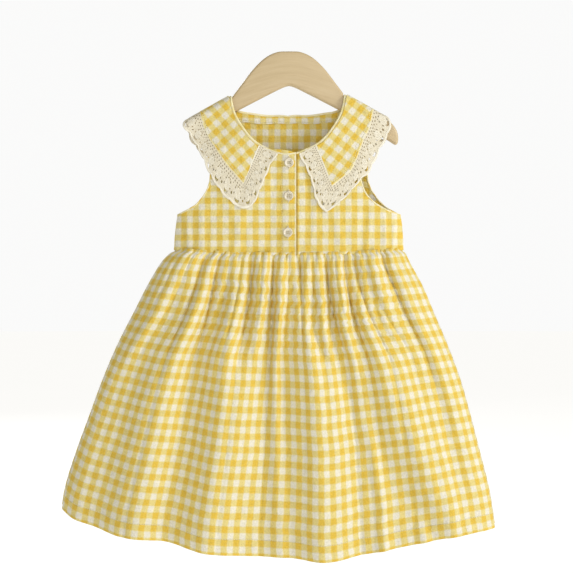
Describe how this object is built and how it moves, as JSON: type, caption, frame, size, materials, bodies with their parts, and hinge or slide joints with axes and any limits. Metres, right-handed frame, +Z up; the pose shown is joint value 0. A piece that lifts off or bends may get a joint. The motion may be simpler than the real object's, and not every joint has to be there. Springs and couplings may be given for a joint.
{
  "type": "sleeveless gingham a-line dress on a wooden hanger",
  "caption": "Child's sleeveless a-line dress with a pointed lace-edged collar and gathered skirt, held on a flat wooden hanger.",
  "frame": {"origin": "top centre of the hanger, where a hook or a hand holds it", "axes": "+Z up, -Y the dress's front, +X to the viewer's right"},
  "size_m": [0.5458, 0.1119, 0.6345],
  "materials": {
    "wood": "satin",
    "gingham": "matte",
    "binding": "matte",
    "lace": "matte",
    "button": "semi-gloss"
  },
  "bodies": {
    "root": {"hanger": "wood", "bodice_front_right": "gingham", "bodice_front_left": "gingham", "bodice_back": "gingham", "skirt_front": "gingham", "skirt_back": "gingham", "collar_right": "gingham", "collar_left": "gingham", "neck_facing": "gingham", "neck_binding_right": "binding", "neck_binding_left": "binding", "armhole_binding_right": "binding", "armhole_binding_left": "binding", "lace_right": "lace", "lace_left": "lace", "button_1": "button", "button_2": "button", "button_3": "button"}
  },
  "joints": []
}
